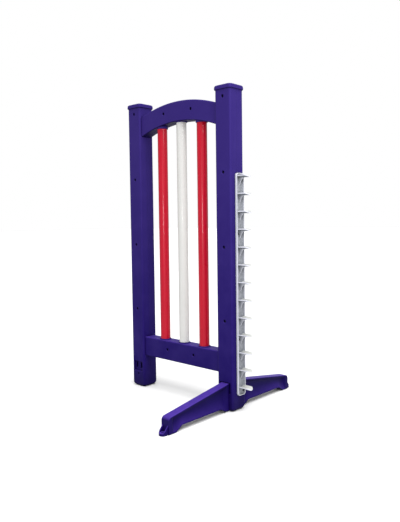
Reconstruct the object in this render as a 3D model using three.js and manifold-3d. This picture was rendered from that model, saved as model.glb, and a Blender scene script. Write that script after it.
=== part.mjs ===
// Wing of a dog agility hurdle: a hollow two-shell plastic frame with three upright bars,
// a moulded strip of pole cups on one post, and two stabiliser legs that plug into that post.
// Millimetres. X runs along the wing towards the cup strip, Y from front to rear, Z up.

import * as THREE from 'three';
import { mergeVertices } from 'three/addons/utils/BufferGeometryUtils.js';
import Module from 'manifold-3d';

const wasm = await Module();
wasm.setup();

// ---- driving dimensions -------------------------------------------------------------------

const HEIGHT = 1016;
const WING_WIDTH = 477;
const POST = 62;
const WALL = 3.5;
const GAP = 0.3;
const PARTING_GAP = 0.3;
const ARC_STEPS = 3;
const ARCH_STEPS = 14;
const BAR_SIDES = 28;
const HOLE_SIDES = 12;
const PIN_SIDES = 8;

const POST_EDGE_RADIUS = 5;
const POST_FOOT_RADIUS = 10;
const RAIL_DEPTH = 46;
const RAIL_BOTTOM = 116;
const RAIL_TOP = 184;
const ARCH_UNDER_SPRING = 898;
const ARCH_UNDER_APEX = 931;
const ARCH_TOP_SPRING = 966;
const ARCH_TOP_APEX = 997;

const CAP_HEIGHT = 17;
const CAP_OVERHANG = 3.5;
const CAP_PLAN_RADIUS = 8;
const CAP_EDGE_RADIUS = 6;
const PLUG_DEPTH = 9;

const BAR_RADIUS = 17;
const BAR_WALL = 2;
const BAR_PITCH = 93;
const BAR_FIT = 0.6;
const COLLAR_RADIUS = 20;
const BAR_BOTTOM = 144;
const BAR_TOP = 946;
const LOWER_COLLAR_TOP = RAIL_TOP + 3;
const SIDE_COLLAR_BOTTOM = 917;
const MIDDLE_COLLAR_BOTTOM = 928;
const SEAT_THICKNESS = 3;

const SCREW_HEAD_RADIUS = 3.6;
const SCREW_HEAD_HEIGHT = 2.8;
const SCREW_SHANK_RADIUS = 1.6;
const WELL_RADIUS = 4.6;
const WELL_DEPTH = 9;
const CLEARANCE_RADIUS = 2.2;
const PILOT_RADIUS = 2;
const SCREW_REACH = 12;
const BOSS_RADIUS = 8.2;
const POST_SCREW_FIRST = 284;
const POST_SCREW_PITCH = 232;
const RAIL_SCREW_X = 62;
const RAIL_SCREW_Z = 153;
const ARCH_SCREW_X = 64;
const ARCH_SCREW_Z = 963;

const STRIP_WIDTH = 36;
const STRIP_Y = 7;
const STRIP_BOTTOM = 49;
const STRIP_TOP = 745;
const STRIP_DEPTH = 7;
const STRIP_BASE = 3;
const STRIP_RIM = 2.5;
const STRIP_CORNER = 8;
const CUP_COUNT = 13;
const CUP_FIRST = 74;
const CUP_PITCH = 55;
const CUP_REACH = 45;
const CUP_HALF_WIDTH = 14;
const CUP_RISE = 4.5;
const CUP_THICKNESS = 3.2;
const CUP_FLOOR = 0.35;
const GUSSET_REACH = 20;
const GUSSET_DROP = 22;
const GUSSET_THICKNESS = 3;
const STRIP_SCREW_EVERY = 3;
const STRIP_SCREW_DROP = 12;
const STRIP_SCREW_Y = 6.5;
const STRIP_SCREW_OFFSET = 10.5;
const STRIP_SCREW_LENGTH = 15;
const STRIP_BOSS_RADIUS = 3.8;
const STRIP_BOSS_DEPTH = 14;

const SOCKET_HALF_WIDTH = 21;
const SOCKET_BOTTOM = 56;
const SOCKET_TOP = 91;
const SOCKET_DEPTH = 5;
const SLOT_INNER = 6.7;
const SLOT_OUTER = 15.8;
const SLOT_BOTTOM = 66;
const SLOT_TOP = 88;
const LATCH_HOLE_Z = 46;
const LATCH_HOLE_RADIUS = 3.5;
const LATCH_BUMP_RADIUS = 3;

const LEG_WIDTH = 31;
const LEG_REACH = 261;
const LEG_ROOT_TOP = 89;
const LEG_TIP_TOP = 49;
const LEG_ROOT_BOTTOM = 3;
const LEG_UNDERSIDE = 15;
const LEG_HEEL_START = 12;
const LEG_HEEL_END = 40;
const PAD_RISE_END = 207;
const PAD_RISE_START = 222;
const PAD_START = 238;
const LEG_EDGE = 5;
const LEG_FLANGE = 5;
const ROOT_FLANGE = 9;
const RECESS_END = 248;
const LEG_RECESS_DEPTH = 9;
const PRONG_REACH = 24;
const PRONG_BOTTOM = 68;
const PRONG_TOP = 85;
const PRONG_BARB = 2;
const PRONG_TAPER = 3;
const PRONG_FIT = 0.7;
const ROOT_FIT = 2;
const LUG_RADIUS = 12;
const LUG_REACH = 282;
const LUG_THICKNESS = 8;
const LUG_CHEEK = 3.5;
const LUG_CHEEK_TOP = 27;
const PEG_HOLE_RADIUS = 4;

// ---- derived places -----------------------------------------------------------------------

const POST_X = (WING_WIDTH - POST) / 2;
const POST_TOP = HEIGHT - CAP_HEIGHT - GAP;
const HALF_POST = POST / 2;
const HALF_OPENING = WING_WIDTH / 2 - POST;
const STRIP_FACE = WING_WIDTH / 2 + GAP;
const CUP_TIP = WING_WIDTH / 2 + CUP_REACH;
const CENTRE_X = (CUP_TIP - WING_WIDTH / 2 - CAP_OVERHANG) / 2;
const BAR_XS = [-BAR_PITCH, 0, BAR_PITCH];
const FAR = 2000;

// ---- finishes -----------------------------------------------------------------------------

const FINISHES = {
  frame: { color: 0x3a2c73, roughness: 0.55, metalness: 0 },
  leg: { color: 0x3d2a86, roughness: 0.5, metalness: 0 },
  red: { color: 0xcc2438, roughness: 0.28, metalness: 0 },
  white: { color: 0xe6e6e0, roughness: 0.3, metalness: 0 },
  strip: { color: 0xd4d7de, roughness: 0.45, metalness: 0 },
  screw: { color: 0x2c2c33, roughness: 0.4, metalness: 0.9 },
};

// ---- solids -------------------------------------------------------------------------------

// Closed triangle mesh to boolean solid.
function solid(geometry) {
  const bare = geometry.clone();
  bare.deleteAttribute('normal');
  bare.deleteAttribute('uv');
  const merged = mergeVertices(bare, 1e-4);
  const mesh = new wasm.Mesh({
    numProp: 3,
    vertProperties: new Float32Array(merged.attributes.position.array),
    triVerts: new Uint32Array(merged.index.array),
  });
  return new wasm.Manifold(mesh);
}

function join(solids) {
  return solids.reduce((whole, next) => whole.add(next));
}

function cut(body, solids) {
  return solids.reduce((whole, next) => whole.subtract(next), body);
}

function toGeometry(body) {
  const mesh = body.getMesh();
  const geometry = new THREE.BufferGeometry();
  geometry.setAttribute('position', new THREE.BufferAttribute(new Float32Array(mesh.vertProperties), 3));
  geometry.setIndex(new THREE.BufferAttribute(new Uint32Array(mesh.triVerts), 1));
  return geometry;
}

function polygon(points) {
  return new THREE.Shape(points.map(([a, b]) => new THREE.Vector2(a, b)));
}

// Rectangle from (a0, b0) to (a1, b1) with a rounding radius for its low and its high corners.
function roundedRectangle(a0, b0, a1, b1, lowRadius, highRadius = lowRadius) {
  const shape = new THREE.Shape();
  shape.moveTo(a0 + lowRadius, b0);
  shape.lineTo(a1 - lowRadius, b0);
  shape.absarc(a1 - lowRadius, b0 + lowRadius, lowRadius, -Math.PI / 2, 0);
  shape.lineTo(a1, b1 - highRadius);
  shape.absarc(a1 - highRadius, b1 - highRadius, highRadius, 0, Math.PI / 2);
  shape.lineTo(a0 + highRadius, b1);
  shape.absarc(a0 + highRadius, b1 - highRadius, highRadius, Math.PI / 2, Math.PI);
  shape.lineTo(a0, b0 + lowRadius);
  shape.absarc(a0 + lowRadius, b0 + lowRadius, lowRadius, Math.PI, 1.5 * Math.PI);
  return shape;
}

function extrude(shape, length) {
  return new THREE.ExtrudeGeometry(shape, { depth: length, bevelEnabled: false, curveSegments: ARC_STEPS });
}

// A plan outline in (x, y), extruded from z0 up to z1.
function fromPlan(shape, z0, z1) {
  return solid(extrude(shape, z1 - z0).translate(0, 0, z0));
}

// A front outline in (x, z), extruded from y0 back to y1.
function fromFront(shape, y0, y1) {
  const turn = new THREE.Matrix4().makeBasis(
    new THREE.Vector3(1, 0, 0), new THREE.Vector3(0, 0, 1), new THREE.Vector3(0, -1, 0));
  return solid(extrude(shape, y1 - y0).applyMatrix4(turn).translate(0, y1, 0));
}

// A side outline in (y, z), extruded from x0 along to x1.
function fromSide(shape, x0, x1) {
  const turn = new THREE.Matrix4().makeBasis(
    new THREE.Vector3(0, 1, 0), new THREE.Vector3(0, 0, 1), new THREE.Vector3(1, 0, 0));
  return solid(extrude(shape, x1 - x0).applyMatrix4(turn).translate(x0, 0, 0));
}

function box(x0, x1, y0, y1, z0, z1) {
  const geometry = new THREE.BoxGeometry(x1 - x0, y1 - y0, z1 - z0);
  return solid(geometry.translate((x0 + x1) / 2, (y0 + y1) / 2, (z0 + z1) / 2));
}

function upright(x, y, radius, z0, z1, segments) {
  const geometry = new THREE.CylinderGeometry(radius, radius, z1 - z0, segments).rotateX(Math.PI / 2);
  return solid(geometry.translate(x, y, (z0 + z1) / 2));
}

function alongY(x, z, radius, y0, y1, segments = PIN_SIDES) {
  const geometry = new THREE.CylinderGeometry(radius, radius, y1 - y0, segments);
  return solid(geometry.translate(x, (y0 + y1) / 2, z));
}

function alongX(y, z, radius, x0, x1, segments = PIN_SIDES) {
  const geometry = new THREE.CylinderGeometry(radius, radius, x1 - x0, segments).rotateZ(Math.PI / 2);
  return solid(geometry.translate((x0 + x1) / 2, y, z));
}

// ---- frame --------------------------------------------------------------------------------

// One upright post, or its hollow when inset by the wall thickness. The hollow is open at the top.
function post(side, inset) {
  const x = side * POST_X;
  const half = HALF_POST - inset;
  const edge = Math.max(POST_EDGE_RADIUS - inset, 1.5);
  const foot = POST_FOOT_RADIUS - inset;
  const top = inset > 0 ? POST_TOP + 1 : POST_TOP;
  const plan = fromPlan(roundedRectangle(x - half, -half, x + half, half, edge), inset, top);
  const front = fromFront(roundedRectangle(x - half, inset, x + half, FAR, foot), -half, half);
  const profile = fromSide(roundedRectangle(-half, inset, half, FAR, foot), x - half, x + half);
  return plan.intersect(front).intersect(profile);
}

// Height of the circular arc that springs at both posts and peaks over the middle of the wing.
function archHeight(x, spring, apex) {
  const rise = apex - spring;
  const radius = (HALF_OPENING ** 2 + rise ** 2) / (2 * rise);
  return apex - radius + Math.sqrt(radius ** 2 - x ** 2);
}

function arch(inset, reach) {
  const under = [];
  const over = [];
  for (let i = 0; i <= ARCH_STEPS; i += 1) {
    const x = reach * (2 * i / ARCH_STEPS - 1);
    under.push([x, archHeight(x, ARCH_UNDER_SPRING, ARCH_UNDER_APEX) + inset]);
    over.push([x, archHeight(x, ARCH_TOP_SPRING, ARCH_TOP_APEX) - inset]);
  }
  const half = RAIL_DEPTH / 2 - inset;
  return fromFront(polygon([...under, ...over.reverse()]), -half, half);
}

function lowerRail(inset, reach) {
  const half = RAIL_DEPTH / 2 - inset;
  return box(-reach, reach, -half, half, RAIL_BOTTOM + inset, RAIL_TOP - inset);
}

function collarBottom(x) {
  return x === 0 ? MIDDLE_COLLAR_BOTTOM : SIDE_COLLAR_BOTTOM;
}

// Rings moulded round the bars where they enter the two rails.
function collars() {
  return join(BAR_XS.flatMap((x) => [
    upright(x, 0, COLLAR_RADIUS, RAIL_BOTTOM + WALL, LOWER_COLLAR_TOP, BAR_SIDES),
    upright(x, 0, COLLAR_RADIUS, collarBottom(x), ARCH_TOP_SPRING, BAR_SIDES),
  ]));
}

// Where the frame's screws go in, and the depth of the front face at each.
function shellScrewPlaces() {
  const places = [];
  for (const side of [-1, 1]) {
    for (let i = 0; i < 4; i += 1) {
      places.push({ x: side * POST_X, z: POST_SCREW_FIRST + i * POST_SCREW_PITCH, face: HALF_POST });
    }
  }
  for (const side of [-1, 1]) {
    places.push({ x: side * RAIL_SCREW_X, z: RAIL_SCREW_Z, face: RAIL_DEPTH / 2 });
    places.push({ x: side * ARCH_SCREW_X, z: ARCH_SCREW_Z, face: RAIL_DEPTH / 2 });
  }
  return places;
}

function cupHeights() {
  return Array.from({ length: CUP_COUNT }, (_, i) => CUP_FIRST + i * CUP_PITCH);
}

// The strip's screws stand under every third cup, by turns in the rear and the front shell.
function stripScrewPlaces() {
  return cupHeights()
    .filter((_, i) => i % STRIP_SCREW_EVERY === 0)
    .map((z, i) => ({
      y: STRIP_SCREW_Y + STRIP_SCREW_OFFSET * (i % 2 === 0 ? 1 : -1),
      z: z - STRIP_SCREW_DROP,
    }));
}

// Inner stiffening: screw bosses, plates that the bars stand on and reach up to, and socket backs.
function innerRibs() {
  const ribs = shellScrewPlaces().map(({ x, z, face }) =>
    alongY(x, z, BOSS_RADIUS, 1 - face, face - 1));
  const seatHalf = RAIL_DEPTH / 2 - 1;
  for (const x of BAR_XS) {
    const low = BAR_BOTTOM - GAP - SEAT_THICKNESS;
    const high = BAR_TOP + GAP;
    ribs.push(box(x - COLLAR_RADIUS, x + COLLAR_RADIUS, -seatHalf, seatHalf, low, low + SEAT_THICKNESS));
    ribs.push(box(x - COLLAR_RADIUS, x + COLLAR_RADIUS, -seatHalf, seatHalf, high, high + SEAT_THICKNESS));
  }
  for (const { y, z } of stripScrewPlaces()) {
    const inner = WING_WIDTH / 2 - WALL;
    ribs.push(alongX(y, z, STRIP_BOSS_RADIUS, inner - STRIP_BOSS_DEPTH, inner + 1));
  }
  const backHalf = HALF_POST - WALL + 0.5;
  for (const side of [-1, 1]) {
    for (const face of [-1, 1]) {
      const ys = [face * (HALF_POST - WALL + 1), face * (HALF_POST - SOCKET_DEPTH - WALL)];
      ribs.push(box(side * POST_X - backHalf, side * POST_X + backHalf,
        Math.min(...ys), Math.max(...ys), SOCKET_BOTTOM - WALL, SOCKET_TOP + WALL));
    }
  }
  return join(ribs);
}

// Stepped hole for a shell screw: open well, clearance through the front boss, pilot in the rear boss.
function screwHole({ x, z, face }) {
  return join([
    alongY(x, z, WELL_RADIUS, -face - 1, WELL_DEPTH - face, HOLE_SIDES),
    alongY(x, z, CLEARANCE_RADIUS, WELL_DEPTH - face - 1, 1),
    alongY(x, z, PILOT_RADIUS, 0, SCREW_REACH + 1),
  ]);
}

// Leg socket: a shallow recess with two slots for the leg's prongs and a latch hole below.
function legSocket(side, face) {
  const x = side * POST_X;
  const across = (near, far) => [Math.min(face * near, face * far), Math.max(face * near, face * far)];
  const recess = across(HALF_POST + 1, HALF_POST - SOCKET_DEPTH);
  const through = across(HALF_POST, HALF_POST - SOCKET_DEPTH - WALL - 1);
  const hole = across(HALF_POST + 1, HALF_POST - WALL - 1);
  const slots = [-1, 1].map((half) => {
    const xs = [x + half * SLOT_INNER, x + half * SLOT_OUTER];
    return box(Math.min(...xs), Math.max(...xs), through[0], through[1], SLOT_BOTTOM, SLOT_TOP);
  });
  return join([
    box(x - SOCKET_HALF_WIDTH, x + SOCKET_HALF_WIDTH, recess[0], recess[1], SOCKET_BOTTOM, SOCKET_TOP),
    alongY(x, LATCH_HOLE_Z, LATCH_HOLE_RADIUS, hole[0], hole[1], HOLE_SIDES),
    ...slots,
  ]);
}

function barHoles() {
  const radius = BAR_RADIUS + BAR_FIT;
  return BAR_XS.flatMap((x) => [
    upright(x, 0, radius, BAR_BOTTOM - GAP, LOWER_COLLAR_TOP + 1, BAR_SIDES),
    upright(x, 0, radius, collarBottom(x) - 1, BAR_TOP + GAP, BAR_SIDES),
  ]);
}

// The whole moulded frame, before it is split into its two shells at mid depth.
function frameShell() {
  const reach = HALF_OPENING + WALL + 1;
  const outer = join([post(-1, 0), post(1, 0), lowerRail(0, reach), arch(0, reach), collars()]);
  const hollow = join([post(-1, WALL), post(1, WALL), lowerRail(WALL, reach), arch(WALL, reach)]);
  const walls = outer.subtract(hollow).add(innerRibs().intersect(outer));
  const pilots = stripScrewPlaces().map(({ y, z }) =>
    alongX(y, z, PILOT_RADIUS, STRIP_FACE - STRIP_SCREW_LENGTH - 1, STRIP_FACE + 1));
  const sockets = [-1, 1].flatMap((side) => [-1, 1].map((face) => legSocket(side, face)));
  return cut(walls, [...barHoles(), ...shellScrewPlaces().map(screwHole), ...pilots, ...sockets]);
}

// ---- small pieces -------------------------------------------------------------------------

function shellScrew({ x, z, face }) {
  const seat = WELL_DEPTH - face - GAP;
  return alongY(x, z, SCREW_HEAD_RADIUS, seat - SCREW_HEAD_HEIGHT, seat, HOLE_SIDES)
    .add(alongY(x, z, SCREW_SHANK_RADIUS, seat - 1, SCREW_REACH));
}

function stripScrew({ y, z }) {
  const seat = STRIP_FACE + STRIP_BASE + GAP;
  return alongX(y, z, SCREW_HEAD_RADIUS, seat, seat + SCREW_HEAD_HEIGHT, HOLE_SIDES)
    .add(alongX(y, z, SCREW_SHANK_RADIUS, STRIP_FACE - STRIP_SCREW_LENGTH, seat + 1));
}

// Outline of a cap: it flares out over the post's top and its upper edges are rounded.
function capOutline(centre) {
  const half = HALF_POST + CAP_OVERHANG;
  const base = HEIGHT - CAP_HEIGHT;
  const edge = HEIGHT - CAP_EDGE_RADIUS;
  const shape = new THREE.Shape();
  shape.moveTo(centre - HALF_POST, base);
  shape.lineTo(centre + HALF_POST, base);
  shape.lineTo(centre + half, base + CAP_OVERHANG);
  shape.absarc(centre + half - CAP_EDGE_RADIUS, edge, CAP_EDGE_RADIUS, 0, Math.PI / 2);
  shape.absarc(centre - half + CAP_EDGE_RADIUS, edge, CAP_EDGE_RADIUS, Math.PI / 2, Math.PI);
  shape.lineTo(centre - half, base + CAP_OVERHANG);
  return shape;
}

function postCap(side) {
  const x = side * POST_X;
  const half = HALF_POST + CAP_OVERHANG;
  const plan = roundedRectangle(x - half, -half, x + half, half, CAP_PLAN_RADIUS);
  const cap = fromPlan(plan, POST_TOP, HEIGHT)
    .intersect(fromFront(capOutline(x), -half, half))
    .intersect(fromSide(capOutline(0), x - half, x + half));
  const plug = HALF_POST - WALL - GAP;
  const plugPlan = roundedRectangle(x - plug, -plug, x + plug, plug, 2);
  return cap.add(fromPlan(plugPlan, POST_TOP - PLUG_DEPTH, HEIGHT - CAP_EDGE_RADIUS));
}

function bar(x) {
  const outer = upright(x, 0, BAR_RADIUS, BAR_BOTTOM, BAR_TOP, BAR_SIDES);
  return outer.subtract(upright(x, 0, BAR_RADIUS - BAR_WALL, BAR_BOTTOM - 1, BAR_TOP + 1, BAR_SIDES));
}

// ---- cup strip ----------------------------------------------------------------------------

// One pole cup: a trough, low along its middle, with a half-round end.
function cup(z) {
  const stations = [-1, -0.7, -CUP_FLOOR, CUP_FLOOR, 0.7, 1];
  const rise = (s) => CUP_RISE * (Math.abs(s) - CUP_FLOOR) / (1 - CUP_FLOOR);
  const upper = stations.map((s) => [STRIP_Y + s * CUP_HALF_WIDTH, z + rise(s)]);
  const lower = stations.map((s) => [STRIP_Y + s * CUP_HALF_WIDTH, z + rise(s) - CUP_THICKNESS]);
  const trough = fromSide(polygon([...lower, ...upper.reverse()]), STRIP_FACE + 1, CUP_TIP);
  const plan = new THREE.Shape();
  const centre = CUP_TIP - CUP_HALF_WIDTH;
  plan.moveTo(STRIP_FACE, STRIP_Y - CUP_HALF_WIDTH);
  plan.lineTo(centre, STRIP_Y - CUP_HALF_WIDTH);
  plan.absarc(centre, STRIP_Y, CUP_HALF_WIDTH, -Math.PI / 2, Math.PI / 2);
  plan.lineTo(STRIP_FACE, STRIP_Y + CUP_HALF_WIDTH);
  return trough.intersect(fromPlan(plan, z - 20, z + 20));
}

function gusset(z) {
  const root = STRIP_FACE + 1;
  const outline = polygon([
    [root, z - CUP_THICKNESS - GUSSET_DROP],
    [STRIP_FACE + STRIP_BASE + 1, z - CUP_THICKNESS - GUSSET_DROP],
    [STRIP_FACE + STRIP_BASE + GUSSET_REACH, z - CUP_THICKNESS + 1],
    [root, z - CUP_THICKNESS + 1],
  ]);
  const half = GUSSET_THICKNESS / 2;
  return fromFront(outline, STRIP_Y - half, STRIP_Y + half);
}

function cupStrip() {
  const half = STRIP_WIDTH / 2;
  const inner = half - STRIP_RIM;
  const outline = roundedRectangle(STRIP_Y - half, STRIP_BOTTOM, STRIP_Y + half, STRIP_TOP, STRIP_CORNER);
  const hollow = roundedRectangle(STRIP_Y - inner, STRIP_BOTTOM + STRIP_RIM, STRIP_Y + inner,
    STRIP_TOP - STRIP_RIM, STRIP_CORNER - STRIP_RIM);
  const tray = fromSide(outline, STRIP_FACE, STRIP_FACE + STRIP_DEPTH)
    .subtract(fromSide(hollow, STRIP_FACE + STRIP_BASE, FAR));
  const whole = join([tray, ...cupHeights().map(cup), ...cupHeights().slice(1).map(gusset)]);
  const holes = stripScrewPlaces().map(({ y, z }) =>
    alongX(y, z, CLEARANCE_RADIUS, STRIP_FACE - 1, STRIP_FACE + STRIP_BASE + 1));
  return cut(whole, holes);
}

// ---- legs ---------------------------------------------------------------------------------

// Side outline of the leg in (distance out from the post face, height).
function legOutline() {
  return polygon([
    [GAP, LEG_ROOT_TOP],
    [GAP, LEG_ROOT_BOTTOM],
    [LEG_HEEL_START, LEG_ROOT_BOTTOM],
    [LEG_HEEL_END, LEG_UNDERSIDE],
    [PAD_RISE_END, LEG_UNDERSIDE],
    [PAD_RISE_START, 3],
    [PAD_START, 0],
    [LEG_REACH, 0],
    [LEG_REACH, LEG_TIP_TOP - LEG_EDGE],
    [LEG_REACH - LEG_EDGE, LEG_TIP_TOP],
  ]);
}

function legTop(out) {
  return LEG_ROOT_TOP + (LEG_TIP_TOP - LEG_ROOT_TOP) * out / (LEG_REACH - LEG_EDGE);
}

// The hollowed side of the leg: the web lies deep between the top, bottom and root flanges.
function legRecess() {
  return polygon([
    [ROOT_FLANGE, LEG_ROOT_BOTTOM + LEG_FLANGE],
    [LEG_HEEL_START, LEG_ROOT_BOTTOM + LEG_FLANGE],
    [LEG_HEEL_END, LEG_UNDERSIDE + LEG_FLANGE],
    [RECESS_END, LEG_UNDERSIDE + LEG_FLANGE],
    [RECESS_END, legTop(RECESS_END) - LEG_FLANGE],
    [ROOT_FLANGE, legTop(ROOT_FLANGE) - LEG_FLANGE],
  ]);
}

// Foot lug with a vertical hole for a ground peg, between two triangular cheeks.
function pegLug() {
  const centre = LUG_REACH - LUG_RADIUS;
  const plan = new THREE.Shape();
  plan.moveTo(-LUG_RADIUS, LEG_REACH - 5);
  plan.lineTo(LUG_RADIUS, LEG_REACH - 5);
  plan.absarc(0, centre, LUG_RADIUS, 0, Math.PI);
  const cheekOutline = polygon([
    [LEG_REACH - 5, 1],
    [LUG_REACH - 5, 1],
    [LUG_REACH - 5, LUG_THICKNESS],
    [LEG_REACH, LUG_CHEEK_TOP],
    [LEG_REACH - 5, LUG_CHEEK_TOP],
  ]);
  const cheeks = [-LUG_RADIUS + LUG_CHEEK, LUG_RADIUS].map((x) =>
    fromSide(cheekOutline, x - LUG_CHEEK, x).intersect(fromPlan(plan, 0, HEIGHT)));
  return cut(join([fromPlan(plan, 0, LUG_THICKNESS), ...cheeks]),
    [upright(0, centre + 2, PEG_HOLE_RADIUS, -1, LUG_THICKNESS + 1, HOLE_SIDES)]);
}

// Two prongs, each with a low snap barb near its end.
function prongs() {
  const barb = SOCKET_DEPTH + WALL + 1;
  const outline = polygon([
    [0, PRONG_BOTTOM],
    [0, PRONG_TOP],
    [-barb, PRONG_TOP],
    [-barb - PRONG_BARB, PRONG_TOP + PRONG_BARB],
    [-PRONG_REACH, PRONG_TOP - PRONG_TAPER],
    [-PRONG_REACH, PRONG_BOTTOM + PRONG_TAPER],
    [PRONG_TAPER - PRONG_REACH, PRONG_BOTTOM],
  ]);
  const inner = SLOT_INNER + PRONG_FIT;
  const outer = SLOT_OUTER - PRONG_FIT;
  return join([fromSide(outline, inner, outer), fromSide(outline, -outer, -inner)]);
}

// A leg built with its root at the post face and its length along +Y.
function leg() {
  const half = LEG_WIDTH / 2;
  const body = fromSide(legOutline(), -half, half);
  const recess = legRecess();
  const recesses = [
    fromSide(recess, half - LEG_RECESS_DEPTH, half + 1),
    fromSide(recess, -half - 1, LEG_RECESS_DEPTH - half),
  ];
  const rootBlock = box(-half, half, GAP - SOCKET_DEPTH, 1, SOCKET_BOTTOM + ROOT_FIT, LEG_ROOT_TOP);
  const bump = alongY(0, LATCH_HOLE_Z, LATCH_BUMP_RADIUS, -WALL, 1);
  return join([cut(body, recesses), rootBlock, bump, prongs(), pegLug()]);
}

function turnedOver(body) {
  return body.rotate([0, 0, 180]);
}

// ---- assembly -----------------------------------------------------------------------------

const hurdle = new THREE.Group();
hurdle.position.x = -CENTRE_X;

function addPiece(name, body, finish) {
  const mesh = new THREE.Mesh(toGeometry(body), new THREE.MeshStandardMaterial(FINISHES[finish]));
  mesh.name = name;
  hurdle.add(mesh);
  return mesh;
}

const shell = frameShell();
const half = PARTING_GAP / 2;
addPiece('front_shell', shell.intersect(box(-FAR, FAR, -FAR, -half, -FAR, FAR)), 'frame');
addPiece('rear_shell', shell.intersect(box(-FAR, FAR, half, FAR, -FAR, FAR)), 'frame');

shellScrewPlaces().forEach((place, i) => {
  addPiece(`shell_screw_${i + 1}`, shellScrew(place), 'screw');
});

addPiece('outer_post_cap', postCap(-1), 'frame');
addPiece('inner_post_cap', postCap(1), 'frame');

addPiece('outer_bar', bar(-BAR_PITCH), 'red');
addPiece('middle_bar', bar(0), 'white');
addPiece('inner_bar', bar(BAR_PITCH), 'red');

addPiece('cup_strip', cupStrip(), 'strip');
stripScrewPlaces().forEach((place, i) => {
  addPiece(`strip_screw_${i + 1}`, stripScrew(place), 'screw');
});

const rearLeg = addPiece('rear_leg', leg(), 'leg');
rearLeg.position.set(POST_X, HALF_POST, 0);
const frontLeg = addPiece('front_leg', turnedOver(leg()), 'leg');
frontLeg.position.set(POST_X, -HALF_POST, 0);

export default hurdle;
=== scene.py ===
"""Looks of the agility hurdle wing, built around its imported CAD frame. Metres, +Z up, front at -Y."""
import math

import bmesh
import bpy
from mathutils import Matrix, Vector


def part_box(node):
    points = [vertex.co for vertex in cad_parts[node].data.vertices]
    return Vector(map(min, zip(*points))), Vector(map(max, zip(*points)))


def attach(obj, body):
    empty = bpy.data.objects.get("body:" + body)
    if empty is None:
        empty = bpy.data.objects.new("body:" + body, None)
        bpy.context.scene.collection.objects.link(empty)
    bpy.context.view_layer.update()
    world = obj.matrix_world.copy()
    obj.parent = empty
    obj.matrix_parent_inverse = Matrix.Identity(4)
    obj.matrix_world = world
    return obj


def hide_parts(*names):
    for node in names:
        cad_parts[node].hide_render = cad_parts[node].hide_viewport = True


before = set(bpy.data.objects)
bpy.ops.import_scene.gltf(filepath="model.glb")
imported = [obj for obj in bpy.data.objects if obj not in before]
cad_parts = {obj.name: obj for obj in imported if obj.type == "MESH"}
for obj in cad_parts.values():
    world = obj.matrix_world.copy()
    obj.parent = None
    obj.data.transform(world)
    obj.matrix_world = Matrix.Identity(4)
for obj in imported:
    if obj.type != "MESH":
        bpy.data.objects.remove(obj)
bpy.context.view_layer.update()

MM = 0.001

# ---- places, read from the frame -------------------------------------------------------------

shell_low, shell_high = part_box("front_shell")
WING_X = (shell_low.x + shell_high.x) / 2
WING_WIDTH = shell_high.x - shell_low.x
HALF_POST = -shell_low.y
POST_X = WING_WIDTH / 2 - HALF_POST
HALF_OPENING = WING_WIDTH / 2 - 2 * HALF_POST
POST_TOP = shell_high.z

strip_low, strip_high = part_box("cup_strip")
STRIP_FACE = strip_low.x
STRIP_Y = (strip_low.y + strip_high.y) / 2
CUP_TIP = strip_high.x

BAR_NODES = ("outer_bar", "middle_bar", "inner_bar")
SHELL_SCREWS = [f"shell_screw_{i + 1}" for i in range(12)]
STRIP_SCREWS = [f"strip_screw_{i + 1}" for i in range(5)]

# ---- sizes that the frame's boxes don't give ---------------------------------------------------

WALL = 3.5 * MM
PARTING_HALF = 0.01 * MM
SEAM_DEPTH = 0.7 * MM
SEAM_HALF = 0.8 * MM
POST_EDGE = 6 * MM
POST_FOOT = 10 * MM
RAIL_EDGE = 4 * MM
RAIL_HALF_DEPTH = 23 * MM
RAIL_BOTTOM = 116 * MM
RAIL_TOP = 184 * MM
ARCH_UNDER = (898 * MM, 931 * MM)
ARCH_OVER = (966 * MM, 997 * MM)

COLLAR_RADIUS = 20 * MM
COLLAR_EDGE = 1.2 * MM
LOWER_COLLAR_TOP = 187 * MM
SIDE_COLLAR_BOTTOM = 917 * MM
MIDDLE_COLLAR_BOTTOM = 928 * MM
BAR_FIT = 0.6 * MM
BAR_WALL = 2 * MM
SEAT_THICKNESS = 3 * MM
BAR_END_GAP = 0.3 * MM

WELL_RADIUS = 4.6 * MM
WELL_DEPTH = 9 * MM
WELL_LIP = 1.3 * MM
CLEARANCE_RADIUS = 2.2 * MM
PILOT_RADIUS = 2 * MM
PILOT_DEPTH = 13 * MM
BOSS_RADIUS = 8.2 * MM
SCREW_HEAD = 3.6 * MM
SCREW_HEAD_HEIGHT = 2.8 * MM
STRIP_BOSS_RADIUS = 3.8 * MM
STRIP_BOSS_LENGTH = 14 * MM

SOCKET_HALF_WIDTH = 21 * MM
SOCKET_BOTTOM = 56 * MM
SOCKET_TOP = 91 * MM
SOCKET_DEPTH = 5 * MM
SLOT_INNER = 6.7 * MM
SLOT_OUTER = 15.8 * MM
SLOT_BOTTOM = 66 * MM
SLOT_TOP = 88 * MM
LATCH_Z = 46 * MM
LATCH_HOLE = 3.5 * MM

STRIP_BASE = 3 * MM
STRIP_CORNER = 8 * MM
CUP_COUNT = 13
CUP_FIRST = 74 * MM
CUP_PITCH = 55 * MM
CUP_HALF_WIDTH = 14 * MM
CUP_RISE = 4.5 * MM
CUP_THICKNESS = 3.2 * MM
GUSSET_REACH = 20 * MM
GUSSET_DROP = 22 * MM

# ---- mesh helpers -------------------------------------------------------------------------------


def mesh_object(name, points, faces):
    mesh = bpy.data.meshes.new(name)
    mesh.from_pydata([tuple(p) for p in points], [], faces)
    obj = bpy.data.objects.new(name, mesh)
    bpy.context.scene.collection.objects.link(obj)
    bm = bmesh.new()
    bm.from_mesh(mesh)
    bmesh.ops.recalc_face_normals(bm, faces=bm.faces)
    bm.to_mesh(mesh)
    bm.free()
    return obj


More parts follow.
